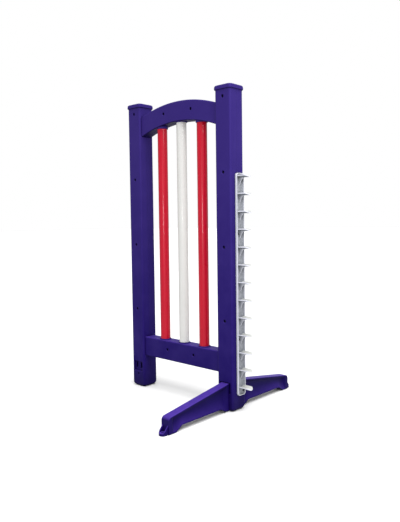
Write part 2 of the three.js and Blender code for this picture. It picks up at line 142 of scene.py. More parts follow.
def loft(name, rings, ring_closed=False):
    """Closed skin through rings of equal length. Its ends are capped, or joined when ring_closed."""
    count = len(rings[0])
    points = [p for ring in rings for p in ring]
    faces = []
    spans = len(rings) if ring_closed else len(rings) - 1
    for i in range(spans):
        a = i * count
        b = ((i + 1) % len(rings)) * count
        for j in range(count):
            k = (j + 1) % count
            faces.append((a + j, a + k, b + k, b + j))
    if not ring_closed:
        faces.append(tuple(range(count)))
        faces.append(tuple(range(len(points) - count, len(points))))
    return mesh_object(name, points, faces)


def circle(centre, axis, radius, along, segments):
    """Ring of points round an axis ("x", "y" or "z"), at a distance along it."""
    ring = []
    for i in range(segments):
        angle = 2 * math.pi * i / segments
        a = radius * math.cos(angle)
        b = radius * math.sin(angle)
        offset = {"x": (along, a, b), "y": (b, along, a), "z": (a, b, along)}[axis]
        ring.append(Vector(centre) + Vector(offset))
    return ring


def turned(name, centre, axis, profile, segments=48, ring_closed=False):
    """Body of revolution from (radius, distance along the axis) pairs."""
    rings = [circle(centre, axis, radius, along, segments) for radius, along in profile]
    return loft(name, rings, ring_closed)


def block(name, low, high):
    corners = [(x, y, z) for x in (low[0], high[0]) for y in (low[1], high[1]) for z in (low[2], high[2])]
    faces = [(0, 1, 3, 2), (4, 6, 7, 5), (0, 4, 5, 1), (2, 3, 7, 6), (0, 2, 6, 4), (1, 5, 7, 3)]
    return mesh_object(name, corners, faces)


def rounded_rectangle(low_a, high_a, low_b, high_b, radius, steps=6):
    """Counter-clockwise outline in (a, b) with round corners."""
    outline = []
    corners = ((high_a, low_b, -90), (high_a, high_b, 0), (low_a, high_b, 90), (low_a, low_b, 180))
    for a, b, start in corners:
        centre_a = a - radius if a == high_a else a + radius
        centre_b = b - radius if b == high_b else b + radius
        for i in range(steps + 1):
            angle = math.radians(start + 90 * i / steps)
            outline.append((centre_a + radius * math.cos(angle), centre_b + radius * math.sin(angle)))
    return outline


def evaluated(obj):
    """Applies every modifier and returns the object."""
    depsgraph = bpy.context.evaluated_depsgraph_get()
    mesh = bpy.data.meshes.new_from_object(obj.evaluated_get(depsgraph))
    obj.modifiers.clear()
    obj.data = mesh
    return obj


def boolean(body, tools, operation):
    """Joins tools to body, cuts them from it, or keeps what they share. The tools are used up."""
    for tool in tools:
        modifier = body.modifiers.new("Boolean", "BOOLEAN")
        modifier.operation = operation
        modifier.solver = "MANIFOLD"
        modifier.object = tool
    evaluated(body)
    for tool in tools:
        bpy.data.objects.remove(tool)
    return body


def join(parts):
    return boolean(parts[0], parts[1:], "UNION")


def soften(obj, width, segments=2, angle=40):
    """Rounds the piece's sharp edges in its mesh."""
    bevel = obj.modifiers.new("Bevel", "BEVEL")
    bevel.width = width
    bevel.segments = segments
    bevel.limit_method = "ANGLE"
    bevel.angle_limit = math.radians(angle)
    return evaluated(obj)


def smooth(obj, angle=32):
    mesh = obj.data
    mesh.shade_smooth()
    mesh.set_sharp_from_angle(angle=math.radians(angle))
    weighted = obj.modifiers.new("Weighted normals", "WEIGHTED_NORMAL")
    weighted.keep_sharp = True
    weighted.weight = 80
    return obj


def place(obj, name, body, material, nodes):
    """Names a finished piece, puts it on its body and gives it its finish."""
    obj.name = name
    smooth(obj)
    obj.data.materials.clear()
    obj.data.materials.append(material)
    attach(obj, body)
    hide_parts(*nodes)
    return obj


# ---- materials ----------------------------------------------------------------------------------


class Surface:
    """A Principled material with its nodes added one by one, on the piece's own coordinates."""

    def __init__(self, name):
        self.material = bpy.data.materials.new(name)
        self.material.use_nodes = True
        self.tree = self.material.node_tree
        self.shader = self.tree.nodes["Principled BSDF"]
        self.place = self.node("ShaderNodeTexCoord").outputs["Object"]

    def node(self, kind, **settings):
        made = self.tree.nodes.new(kind)
        for key, value in settings.items():
            setattr(made, key, value)
        return made

    def link(self, source, target):
        self.tree.links.new(source, target)

    def noise(self, scale, detail=4.0, roughness=0.55, stretch=None):
        texture = self.node("ShaderNodeTexNoise")
        texture.inputs["Scale"].default_value = scale
        texture.inputs["Detail"].default_value = detail
        texture.inputs["Roughness"].default_value = roughness
        source = self.place
        if stretch:
            mapping = self.node("ShaderNodeMapping")
            mapping.inputs["Scale"].default_value = stretch
            self.link(self.place, mapping.inputs["Vector"])
            source = mapping.outputs["Vector"]
        self.link(source, texture.inputs["Vector"])
        return texture.outputs["Fac"]

    def spread(self, value, low, high, to_low=0.0, to_high=1.0):
        ramp = self.node("ShaderNodeMapRange")
        for key, number in zip(("From Min", "From Max", "To Min", "To Max"), (low, high, to_low, to_high)):
            ramp.inputs[key].default_value = number
        self.link(value, ramp.inputs["Value"])
        return ramp.outputs["Result"]

    def mix(self, factor, first, second):
        made = self.node("ShaderNodeMix", data_type="RGBA")
        self.link(factor, made.inputs["Factor"])
        for socket, value in ((made.inputs["A"], first), (made.inputs["B"], second)):
            self.set_or_link(socket, value)
        return made.outputs["Result"]

    def set_or_link(self, socket, value):
        if isinstance(value, bpy.types.NodeSocket):
            self.link(value, socket)
        elif isinstance(value, tuple):
            socket.default_value = (*value, 1)
        else:
            socket.default_value = value

    def height(self):
        split = self.node("ShaderNodeSeparateXYZ")
        self.link(self.place, split.inputs["Vector"])
        return split.outputs["Z"]

    def product(self, first, second):
        made = self.node("ShaderNodeMath", operation="MULTIPLY")
        self.link(first, made.inputs[0])
        self.link(second, made.inputs[1])
        return made.outputs["Value"]

    def facing(self, axis, low, high):
        """0 to 1 as the face turns along an axis, from one cosine to another."""
        split = self.node("ShaderNodeSeparateXYZ")
        self.link(self.node("ShaderNodeNewGeometry").outputs["Normal"], split.inputs["Vector"])
        return self.spread(split.outputs[axis], low, high)

    def crevices(self, distance, strength):
        """Shade in corners, holes and under ledges, up to the strength given."""
        occlusion = self.node("ShaderNodeAmbientOcclusion", samples=8)
        occlusion.inputs["Distance"].default_value = distance
        return self.spread(occlusion.outputs["AO"], 0.85, 0.3, 0.0, strength)

    def edges(self, radius):
        """1 on worn outer edges and in tight corners, 0 on flat faces."""
        bevel = self.node("ShaderNodeBevel", samples=4)
        bevel.inputs["Radius"].default_value = radius
        geometry = self.node("ShaderNodeNewGeometry")
        dot = self.node("ShaderNodeVectorMath", operation="DOT_PRODUCT")
        self.link(bevel.outputs["Normal"], dot.inputs[0])
        self.link(geometry.outputs["Normal"], dot.inputs[1])
        return self.spread(dot.outputs["Value"], 0.995, 0.85)

    def bump(self, heights, distance):
        """Bump from (height, strength) pairs, stacked."""
        normal = None
        for height, strength in heights:
            made = self.node("ShaderNodeBump")
            made.inputs["Strength"].default_value = strength
            made.inputs["Distance"].default_value = distance
            self.link(height, made.inputs["Height"])
            if normal:
                self.link(normal, made.inputs["Normal"])
            normal = made.outputs["Normal"]
        self.link(normal, self.shader.inputs["Normal"])

    def finish(self, colour, roughness, specular, coat=0.0):
        self.set_or_link(self.shader.inputs["Base Color"], colour)
        self.set_or_link(self.shader.inputs["Roughness"], roughness)
        self.shader.inputs["Specular IOR Level"].default_value = specular
        self.shader.inputs["Coat Weight"].default_value = coat
        return self.material


# Colour of painted shade on the purple plastics.
PAINTED_SHADE_PURPLE = (0.0026, 0.0006, 0.026)


def moulded_plastic(name, upper, lower, worn, painted_light_and_wear, roughness=(0.45, 0.6), specular=0.04,
                    painted_gradient_heights=(0.85, 0.10), foot=0.6):
    """Moulded plastic with fine grain, mottling and worn edges.

    Some of the photograph's light and shade is painted into the colour: paler on upward faces and high
    up, deeper on downward faces, in corners and low down. None of it depends on the camera.
    """
    s = Surface(name)
    # painted light and shade: from upper to lower colour between the given heights, darker low down on frame
    # and caps, paler near the floor on legs
    base = s.mix(s.spread(s.height(), *painted_gradient_heights), upper, lower)
    base = s.mix(s.spread(s.noise(14, 5), 0.42, 0.68, 0.0, 0.25), base, worn)
    patches = s.spread(s.noise(40, 5), 0.3, 0.6, 0.75, 1.0)
    # painted light: upward faces paler, broken into patches
    base = s.mix(s.product(s.facing("Z", 0.16, 0.88), patches), base, painted_light_and_wear)
    # worn edges, scuffed in the same colour as the painted light
    scuffs = s.spread(s.noise(55, 3), 0.35, 0.7, 0.1, 0.5)
    base = s.mix(s.product(s.edges(1.6 * MM), scuffs), base, painted_light_and_wear)
    # painted shade: darker still in the lowest nine centimetres
    base = s.mix(s.spread(s.height(), 0.09, 0.02, 0.0, foot), base, PAINTED_SHADE_PURPLE)
    # painted shade on downward faces
    base = s.mix(s.facing("Z", -0.4, -0.85), base, PAINTED_SHADE_PURPLE)
    # painted shade in corners, holes and under ledges
    base = s.mix(s.crevices(9 * MM, 0.85), base, PAINTED_SHADE_PURPLE)
    gloss = s.spread(s.noise(9, 6, 0.6), 0.3, 0.7, *roughness)
    s.bump(((s.noise(900, 2), 0.10), (s.noise(38, 2), 0.08)), 0.4 * MM)
    return s.finish(base, gloss, specular)


def tube_plastic(name, colour, shade, roughness, specular):
    """Extruded tube: glossy, with faint drawing lines along it, a few dull patches and painted shade where
    it meets other parts.
    """
    s = Surface(name)
    streaks = s.noise(60, 3, stretch=(1, 1, 0.02))
    base = s.mix(s.spread(streaks, 0.35, 0.7, 0.0, 0.35), colour, shade)
    base = s.mix(s.spread(s.noise(11, 4), 0.45, 0.75, 0.0, 0.3), base, shade)
    # painted shade where the tube runs into its collars
    base = s.mix(s.crevices(14 * MM, 0.8), base, shade)
    gloss = s.spread(s.noise(16, 5), 0.3, 0.7, *roughness)
    s.bump(((s.noise(240, 2, stretch=(1, 1, 0.02)), 0.05), (s.noise(700, 2), 0.03)), 0.3 * MM)
    return s.finish(base, gloss, specular, coat=0.08)


def pale_plastic(name, colour, shade, worn, shaded, painted_top_shade):
    """Pale plastic of the cup strip.

    The photograph's grey shade is painted in its channel and under its cups.
    """
    s = Surface(name)
    base = s.mix(s.spread(s.noise(20, 5), 0.4, 0.7, 0.0, 0.5), colour, shade)
    scuffs = s.spread(s.noise(70, 3), 0.3, 0.7, 0.2, 0.6)
    base = s.mix(s.product(s.edges(1.2 * MM), scuffs), base, worn)
    # painted shade on the channel floor, broken into patches
    split = s.node("ShaderNodeSeparateXYZ")
    s.link(s.place, split.inputs["Vector"])
    depth = s.spread(split.outputs["X"], STRIP_FACE + 4.5 * MM, STRIP_FACE + 3.5 * MM)
    painted_shade_patches = s.spread(s.noise(130, 5, 0.7), 0.35, 0.65, 0.55, 0.9)
    base = s.mix(s.product(s.product(depth, s.facing("X", 0.6, 0.9)), painted_shade_patches), base, shaded)
    # painted shade: upward faces darker
    base = s.mix(s.facing("Z", 0.5, 0.95), base, painted_top_shade)
    # painted shade in corners, under the cups and on downward faces
    base = s.mix(s.crevices(16 * MM, 0.75), base, shaded)
    base = s.mix(s.facing("Z", -0.4, -0.85), base, shaded)
    gloss = s.spread(s.noise(24, 5), 0.3, 0.7, 0.34, 0.5)
    s.bump(((s.noise(800, 2), 0.06),), 0.3 * MM)
    return s.finish(base, gloss, 0.2)


def dark_steel(name):
    """Blackened screw steel with small bright scuffs on the edges."""
    s = Surface(name)
    base = s.mix(s.spread(s.noise(400, 4), 0.4, 0.7), (0.02, 0.02, 0.024), (0.05, 0.05, 0.058))
    base = s.mix(s.spread(s.edges(0.3 * MM), 0.2, 1.0, 0.0, 0.7), base, (0.22, 0.22, 0.24))
    s.bump(((s.noise(1500, 3), 0.2),), 0.1 * MM)
    s.shader.inputs["Metallic"].default_value = 0.85
    return s.finish(base, s.spread(s.noise(600, 3), 0.3, 0.7, 0.3, 0.5), 0.5)


def floor_surface(name):
    s = Surface(name)
    tone = s.mix(s.spread(s.noise(3, 3), 0.3, 0.7, 0.0, 1.0), (0.44, 0.44, 0.44), (0.46, 0.46, 0.46))
    s.bump(((s.noise(120, 2), 0.02),), 0.2 * MM)
    return s.finish(tone, 0.75, 0.1)


# UPPER_PURPLE and LOWER_PURPLE carry painted shade: the frame is darker low down. The last colour given to
# each moulded plastic is painted light on upward faces, also used on worn edges.
UPPER_PURPLE = (0.0175, 0.0093, 0.089)
LOWER_PURPLE = (0.0062, 0.0020, 0.062)
WORN_PURPLE = (0.026, 0.015, 0.112)

FRAME_PLASTIC = moulded_plastic("frame plastic", UPPER_PURPLE, LOWER_PURPLE, WORN_PURPLE,
                                (0.024, 0.013, 0.110))
CAP_PLASTIC = moulded_plastic("cap plastic", UPPER_PURPLE, LOWER_PURPLE, WORN_PURPLE,
                              (0.026, 0.017, 0.105))
# Leg colours carry painted light: tops much paler than the sides, and the sides paler near the floor.
LEG_PLASTIC = moulded_plastic("leg plastic", (0.0030, 0.0008, 0.034), (0.0050, 0.0013, 0.050),
                              (0.010, 0.004, 0.075), (0.030, 0.0145, 0.135),
                              roughness=(0.4, 0.52), painted_gradient_heights=(0.07, 0.0), foot=0.0)
RED_TUBE = tube_plastic("red tube", (0.30, 0.002, 0.013), (0.23, 0.001, 0.009), (0.26, 0.38), 0.12)
WHITE_TUBE = tube_plastic("white tube", (0.385, 0.385, 0.375), (0.33, 0.33, 0.32), (0.28, 0.4), 0.12)
# The last two strip colours are painted shade: the grey of the channel, corners and undersides, and the
# darker upward faces.
STRIP_PLASTIC = pale_plastic("strip plastic", (0.40, 0.405, 0.45), (0.34, 0.345, 0.39), (0.55, 0.54, 0.68),
                             (0.11, 0.12, 0.135), (0.30, 0.305, 0.29))
SCREW_STEEL = dark_steel("screw steel")

# ---- frame shells -------------------------------------------------------------------------------


def seamed_section(low, high, half_depth, radius, seam):
    """Outline in (u, y): a rounded rectangle with the parting seam's groove in its two sides."""
    section = []
    steps = 7
    groove = ((-SEAM_HALF, 0), (0, seam), (SEAM_HALF, 0))
    for u, sign in ((high, 1), (low, -1)):
        for corner in (-1, 1):
            for i in range(steps + 1):
                angle = math.radians(90 * i / steps + (-90 if corner < 0 else 0))
                section.append((u - sign * radius + sign * radius * math.cos(angle),
                                sign * (corner * (half_depth - radius) + radius * math.sin(angle))))
            if corner < 0:
                section.extend((u - sign * depth, sign * y) for y, depth in groove)
    return section


def post_skin(side, inset):
    """One upright post, or the hollow in it when inset by the wall."""
    x = WING_X + side * POST_X
    edge = max(POST_EDGE - inset, 2 * MM)
    foot = POST_FOOT - inset
    seam = SEAM_DEPTH if inset == 0 else 0
    levels = [(1.3 * foot * (1 - math.cos(a)), foot * (1 - math.sin(a)))
              for a in (math.radians(9 * i) for i in range(11))]
    top = POST_TOP if inset == 0 else POST_TOP + MM
    rings = []
    for rise, pull in levels + [(top - inset, 0)]:
        half = HALF_POST - inset - pull
        section = seamed_section(-half, half, half, edge + 1.2 * pull, seam)
        rings.append([Vector((x + u, y, inset + rise)) for u, y in section])
    return loft("post", rings)


def arch_height(x, spring, apex):
    rise = apex - spring
    radius = (HALF_OPENING ** 2 + rise ** 2) / (2 * rise)
    return apex - radius + math.sqrt(radius ** 2 - x ** 2)


def arch_skin(inset, reach):
    stations = 72
    seam = SEAM_DEPTH if inset == 0 else 0
    edge = max(RAIL_EDGE - inset, 1.5 * MM)
    rings = []
    for i in range(stations + 1):
        x = reach * (2 * i / stations - 1)
        low = arch_height(x, *ARCH_UNDER) + inset
        high = arch_height(x, *ARCH_OVER) - inset
        section = seamed_section(low, high, RAIL_HALF_DEPTH - inset, edge, seam)
        rings.append([Vector((WING_X + x, y, z)) for z, y in section])
    return loft("arch", rings)


def rail_skin(inset, reach):
    seam = SEAM_DEPTH if inset == 0 else 0
    edge = max(RAIL_EDGE - inset, 1.5 * MM)
    section = seamed_section(RAIL_BOTTOM + inset, RAIL_TOP - inset, RAIL_HALF_DEPTH - inset, edge, seam)
    rings = [[Vector((WING_X + x, y, z)) for z, y in section] for x in (-reach, reach)]
    return loft("rail", rings)


def bar_centres():
    centres = []
    for node in BAR_NODES:
        low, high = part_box(node)
        centres.append(((low.x + high.x) / 2, low.z, high.z, (high.x - low.x) / 2))
    return centres


def collar_bottom(x):
    return MIDDLE_COLLAR_BOTTOM if abs(x - WING_X) < 10 * MM else SIDE_COLLAR_BOTTOM


def collar_skins():
    skins = []
    for x, _, _, _ in bar_centres():
        top = LOWER_COLLAR_TOP
        bottom = collar_bottom(x)
        lower = [(COLLAR_RADIUS, RAIL_BOTTOM + WALL), (COLLAR_RADIUS, top - COLLAR_EDGE),
                 (COLLAR_RADIUS - 0.3 * COLLAR_EDGE, top - 0.3 * COLLAR_EDGE),
                 (COLLAR_RADIUS - COLLAR_EDGE, top)]
        upper = [(COLLAR_RADIUS - COLLAR_EDGE, bottom),
                 (COLLAR_RADIUS - 0.3 * COLLAR_EDGE, bottom + 0.3 * COLLAR_EDGE),
                 (COLLAR_RADIUS, bottom + COLLAR_EDGE), (COLLAR_RADIUS, ARCH_OVER[0])]
        skins.append(turned("collar", (x, 0, 0), "z", lower, 56))
        skins.append(turned("collar", (x, 0, 0), "z", upper, 56))
    return skins


def screw_places():
    """Axis and front face of each shell screw."""
    places = []
    for node in SHELL_SCREWS:
        low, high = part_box(node)
        x = (low.x + high.x) / 2
        on_post = abs(abs(x - WING_X) - POST_X) < MM
        places.append((x, (low.z + high.z) / 2, HALF_POST if on_post else RAIL_HALF_DEPTH))
    return places


def strip_screw_axis(node):
    """A point on the axis of one of the strip's screws, which runs along X."""
    low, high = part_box(node)
    return (0, (low.y + high.y) / 2, (low.z + high.z) / 2)


def inner_ribs():
    """Screw bosses, bar seats, strip bosses and the backs of the leg sockets."""
    ribs = []
    for x, z, face in screw_places():
        ribs.append(turned("boss", (x, 0, z), "y", [(BOSS_RADIUS, MM - face), (BOSS_RADIUS, face - MM)], 24))
    seat = RAIL_HALF_DEPTH - MM
    for x, low, high, _ in bar_centres():
        for z in (low - BAR_END_GAP - SEAT_THICKNESS, high + BAR_END_GAP):
            ribs.append(block("seat", (x - COLLAR_RADIUS, -seat, z),
                              (x + COLLAR_RADIUS, seat, z + SEAT_THICKNESS)))
    for node in STRIP_SCREWS:
        inner = WING_X + WING_WIDTH / 2 - WALL
        profile = [(STRIP_BOSS_RADIUS, inner - STRIP_BOSS_LENGTH), (STRIP_BOSS_RADIUS, inner + MM)]
        ribs.append(turned("boss", strip_screw_axis(node), "x", profile, 20))
    half = HALF_POST - WALL + 0.5 * MM
    for side in (-1, 1):
        x = WING_X + side * POST_X
        for face in (-1, 1):
            near = face * (HALF_POST - WALL + MM)
            far = face * (HALF_POST - SOCKET_DEPTH - WALL)
            ribs.append(block("socket back", (x - half, min(near, far), SOCKET_BOTTOM - WALL),
                              (x + half, max(near, far), SOCKET_TOP + WALL)))
    return ribs


def screw_wells():
    wells = []
    for x, z, face in screw_places():
        centre = (x, 0, z)
        mouth = [(WELL_RADIUS + WELL_LIP, -face - MM), (WELL_RADIUS + WELL_LIP, -face),
                 (WELL_RADIUS, WELL_LIP - face), (WELL_RADIUS, WELL_DEPTH - face)]
        clearance = [(CLEARANCE_RADIUS, WELL_DEPTH - face - MM), (CLEARANCE_RADIUS, MM)]
        wells.append(turned("well", centre, "y", mouth, 32))
        wells.append(turned("clearance", centre, "y", clearance, 16))
        wells.append(turned("pilot", centre, "y", [(PILOT_RADIUS, 0), (PILOT_RADIUS, PILOT_DEPTH)], 16))
    return wells


def leg_sockets():
    """Recess with a chamfered mouth, two prong slots and the latch hole, on each leg face of the posts."""
    cutters = []
    lip = 0.9 * MM
    for side in (-1, 1):
        x = WING_X + side * POST_X
        for face in (-1, 1):
            rings = []
            for grow, depth in ((lip, -MM), (lip, 0), (0, lip), (0, SOCKET_DEPTH)):
                outline = rounded_rectangle(-SOCKET_HALF_WIDTH - grow, SOCKET_HALF_WIDTH + grow,
                                            SOCKET_BOTTOM - grow, SOCKET_TOP + grow, 2 * MM + grow, 4)
                rings.append([Vector((x + a, face * (HALF_POST - depth), b)) for a, b in outline])
            cutters.append(loft("recess", rings))
            through = [face * HALF_POST, face * (HALF_POST - SOCKET_DEPTH - WALL - MM)]
            for half in (-1, 1):
                edges = [x + half * SLOT_INNER, x + half * SLOT_OUTER]
                cutters.append(block("slot", (min(edges), min(through), SLOT_BOTTOM),
                                     (max(edges), max(through), SLOT_TOP)))
            rim = [(LATCH_HOLE + 0.5 * MM, HALF_POST + MM), (LATCH_HOLE + 0.5 * MM, HALF_POST),
                   (LATCH_HOLE, HALF_POST - 0.5 * MM), (LATCH_HOLE, HALF_POST - WALL - MM)]
            cutters.append(turned("latch", (x, 0, LATCH_Z), "y", [(r, face * d) for r, d in rim], 32))
    return cutters


def bar_holes():
    holes = []
    for x, low, high, radius in bar_centres():
        hole = radius + BAR_FIT
        spans = ((low - BAR_END_GAP, LOWER_COLLAR_TOP + MM), (collar_bottom(x) - MM, high + BAR_END_GAP))
        for start, end in spans:
            holes.append(turned("hole", (x, 0, 0), "z", [(hole, start), (hole, end)], 56))
    return holes


def copy_of(obj, name):
    twin = obj.copy()
    twin.data = obj.data.copy()
    twin.name = name
    bpy.context.scene.collection.objects.link(twin)
    return twin


def build_shells():
    reach = HALF_OPENING + WALL + MM
    skin = join([post_skin(-1, 0), post_skin(1, 0), rail_skin(0, reach), arch_skin(0, reach),
                 *collar_skins()])
    hollow = join([post_skin(-1, WALL), post_skin(1, WALL), rail_skin(WALL, reach), arch_skin(WALL, reach)])
    boolean(skin, [hollow], "DIFFERENCE")
    boolean(skin, inner_ribs(), "UNION")
    pilots = []
    for node in STRIP_SCREWS:
        low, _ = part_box(node)
        profile = [(PILOT_RADIUS, low.x - MM), (PILOT_RADIUS, STRIP_FACE + MM)]
        pilots.append(turned("pilot", strip_screw_axis(node), "x", profile, 16))
    boolean(skin, bar_holes() + screw_wells() + leg_sockets() + pilots, "DIFFERENCE")
    far = 2.0
    rear = copy_of(skin, "rear")
    boolean(skin, [block("front half", (-far, -far, -far), (far, -PARTING_HALF, far))], "INTERSECT")
    boolean(rear, [block("rear half", (-far, PARTING_HALF, -far), (far, far, far))], "INTERSECT")
    place(skin, "front_shell_skin", "frame", FRAME_PLASTIC, ["front_shell"])
    place(rear, "rear_shell_skin", "frame", FRAME_PLASTIC, ["rear_shell"])


# ---- caps ---------------------------------------------------------------------------------------


def build_cap(node):
    """Flared cap: plug, undercut, a band with a faint step, rounded shoulders and a low crown."""
    low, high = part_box(node)
    x = (low.x + high.x) / 2
    y = (low.y + high.y) / 2
    half = (high.x - low.x) / 2
    plug = HALF_POST - WALL - 0.3 * MM
    top = high.z
    levels = [(low.z, plug - MM, 2 * MM), (low.z + MM, plug, 2 * MM), (POST_TOP, plug, 2 * MM),
              (POST_TOP, HALF_POST - 0.6 * MM, 5 * MM), (POST_TOP + 0.3 * MM, HALF_POST, 6 * MM),
              (top - 15.6 * MM, HALF_POST + 0.6 * MM, 6 * MM),
              (top - 14.6 * MM, HALF_POST + 2.4 * MM, 7 * MM),
              (top - 13.8 * MM, half - 0.6 * MM, 8 * MM), (top - 13.0 * MM, half, 8.5 * MM),
              (top - 7.8 * MM, half, 8.5 * MM), (top - 7.5 * MM, half - 0.45 * MM, 8 * MM),
              (top - 7.1 * MM, half - 0.45 * MM, 8 * MM)]
    shoulder = 4.2 * MM
    crown = 0.8 * MM
    centre = half - 0.45 * MM - shoulder
    crown_base = top - crown
    for i in range(1, 9):
        angle = math.radians(90 * i / 8)
        levels.append((crown_base - shoulder + shoulder * math.sin(angle),
                       centre + shoulder * math.cos(angle), 8 * MM + 4 * MM * i / 8))
    for i in range(1, 6):
        share = 1 - i / 6
        levels.append((crown_base + crown * (1 - share ** 2), centre * share, 12 * MM * share))
    levels.append((top, 0.5 * MM, 0.3 * MM))
    rings = []
    for z, size, radius in levels:
        outline = rounded_rectangle(-size, size, -size, size, min(radius, 0.8 * size), 7)
        rings.append([Vector((x + a, y + b, z)) for a, b in outline])
    cap = loft("cap", rings)
    place(cap, node + "_skin", "frame", CAP_PLASTIC, [node])


# ---- bars ---------------------------------------------------------------------------------------


def build_bar(node, material):
    """Thin-walled tube with chamfered ends, in one closed skin."""
    low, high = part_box(node)
    centre = ((low.x + high.x) / 2, (low.y + high.y) / 2, 0)
    outer = (high.x - low.x) / 2
    inner = outer - BAR_WALL
    chamfer = 0.5 * MM
    outside = [(outer - chamfer, low.z), (outer, low.z + chamfer)]
    count = 12
    for i in range(1, count):
        outside.append((outer, low.z + (high.z - low.z) * i / count))
    outside += [(outer, high.z - chamfer), (outer - chamfer, high.z)]
    inside = [(inner + chamfer, high.z), (inner, high.z - chamfer), (inner, low.z + chamfer),
              (inner + chamfer, low.z)]
    tube = turned("tube", centre, "z", outside + inside, 72, ring_closed=True)
    place(tube, node + "_skin", node, material, [node])


# ---- cup strip ----------------------------------------------------------------------------------


def strip_tray():
    """Long tray with a rounded rim round its channel."""
    x = strip_low.x
    rim = [(0, 0.4), (0.4, 0), (6.1, 0), (6.7, 0.2), (7.0, 0.7), (7.0, 1.8), (6.8, 2.25), (6.3, 2.5),
           (3.8, 2.6), (3.2, 2.9), (3.0, 3.5)]
    rings = []
    for out, inset in rim:
        inset *= MM
        outline = rounded_rectangle(strip_low.y + inset, strip_high.y - inset,
                                    strip_low.z + inset, strip_high.z - inset, STRIP_CORNER - inset, 8)
        rings.append([Vector((x + out * MM, y, z)) for y, z in outline])
    return loft("tray", rings)


def cup_body(z):
    """Dished cup: a trough whose rim sinks towards its half-round end, with a fillet at its root."""
    root = STRIP_FACE + MM
    bend = CUP_TIP - CUP_HALF_WIDTH
    stations = [(root, 1.8), (root + 3 * MM, 1.0), (root + 5 * MM, 0.35), (root + 8 * MM, 0.0)]
    stations += [(root + 8 * MM + (bend - root - 8 * MM) * i / 3, 0.0) for i in range(1, 4)]
    columns = 16
    tip_steps = 9
    rows = [(x, CUP_HALF_WIDTH + flare * MM, flare * MM) for x, flare in stations]
    for i in range(1, tip_steps):
        angle = math.radians(90 * i / tip_steps)
        rows.append((bend + CUP_HALF_WIDTH * math.sin(angle), CUP_HALF_WIDTH * math.cos(angle), 0.0))
    rows.append((CUP_TIP - 0.02 * MM, 0.8 * MM, 0.0))
    rings = []
    for x, half, lift in rows:
        upper = []
        lower = []
        for j in range(columns + 1):
            share = math.sin(math.radians(180 * j / columns - 90))
            y = share * half
            rise = CUP_RISE * min(1, abs(y) / CUP_HALF_WIDTH) ** 1.8
            upper.append(Vector((x, STRIP_Y + y, z + rise + lift)))
            lower.append(Vector((x, STRIP_Y + y, z + rise - CUP_THICKNESS - lift)))
        rings.append(lower + upper[::-1])
    return soften(loft("cup", rings), 0.9 * MM, 3, 50)


def gusset_body(z):
    """Thin rib below a cup with a hollowed slope."""
    root = STRIP_FACE + MM
    under = z - CUP_THICKNESS
    outline = [(root, under - GUSSET_DROP), (STRIP_FACE + STRIP_BASE + MM, under - GUSSET_DROP)]
    for i in range(1, 8):
        share = i / 8
        sag = 2.2 * MM * math.sin(math.pi * share)
        outline.append((STRIP_FACE + STRIP_BASE + MM + (GUSSET_REACH - MM) * share - sag,
                        under - GUSSET_DROP * (1 - share) + sag))
    outline += [(STRIP_FACE + STRIP_BASE + GUSSET_REACH, under + MM), (root, under + MM)]
    half = 1.5 * MM
    rings = [[Vector((x, STRIP_Y + side * half, level)) for x, level in outline] for side in (-1, 1)]
    return soften(loft("gusset", rings), 0.5 * MM, 2, 50)


def build_strip():
    heights = [CUP_FIRST + i * CUP_PITCH for i in range(CUP_COUNT)]
    parts = [strip_tray()] + [cup_body(z) for z in heights] + [gusset_body(z) for z in heights[1:]]
    strip = join(parts)
    holes = []
    for node in STRIP_SCREWS:
        profile = [(CLEARANCE_RADIUS, STRIP_FACE - MM), (CLEARANCE_RADIUS, STRIP_FACE + STRIP_BASE + MM)]
        holes.append(turned("hole", strip_screw_axis(node), "x", profile, 20))
    boolean(strip, holes, "DIFFERENCE")
    place(strip, "cup_strip_body", "frame", STRIP_PLASTIC, ["cup_strip"])


# ---- screws -------------------------------------------------------------------------------------


def build_screw(node, axis, head_end):
    """Pan-head screw with a cross recess. The head looks along head_end (-1 or 1) of its axis."""
    low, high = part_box(node)
    middle = (low + high) / 2
    centre = (0, middle.y, middle.z) if axis == "x" else (middle.x, 0, middle.z)
    index = "xyz".index(axis)
    outer, far = (high[index], low[index]) if head_end > 0 else (low[index], high[index])
    shank = 1.6 * MM
    profile = [(0.4 * MM, 0), (1.8 * MM, 0.1 * MM), (2.9 * MM, 0.4 * MM), (SCREW_HEAD, 1.1 * MM),
               (SCREW_HEAD, SCREW_HEAD_HEIGHT), (shank, SCREW_HEAD_HEIGHT)]
    pairs = [(radius, outer - head_end * depth) for radius, depth in profile]
    pairs += [(shank, far + head_end * 2 * MM), (0.3 * MM, far)]
    screw = turned("screw", centre, axis, pairs, 32)
    deep = 1.3 * MM
    cuts = []
    for wide, thin in ((1.7 * MM, 0.4 * MM), (0.4 * MM, 1.7 * MM)):
        along = sorted((outer + head_end * MM, outer - head_end * deep))
        if axis == "x":
            cuts.append(block("cut", (along[0], middle.y - wide, middle.z - thin),
                              (along[1], middle.y + wide, middle.z + thin)))
        else:
            cuts.append(block("cut", (middle.x - wide, along[0], middle.z - thin),
                              (middle.x + wide, along[1], middle.z + thin)))
    boolean(screw, cuts, "DIFFERENCE")
    place(screw, node + "_body", "frame", SCREW_STEEL, [node])


# ---- legs ---------------------------------------------------------------------------------------

LEG_HALF = 15.5 * MM
LEG_REACH = 261 * MM
LEG_ROOT_TOP = 89 * MM
LEG_TIP_TOP = 49 * MM
LEG_EDGE = 5 * MM
TIP_ROUND = 9 * MM
LEG_WEB = 6.5 * MM
ROOT_FLANGE = 9 * MM
RECESS_START = 240 * MM
RECESS_END = 249 * MM
LUG_REACH = 282 * MM
LUG_RADIUS = 12 * MM
LUG_THICKNESS = 8 * MM
PEG_HOLE = 4 * MM


def ease(share):
    share = min(1.0, max(0.0, share))
    return share * share * (3 - 2 * share)


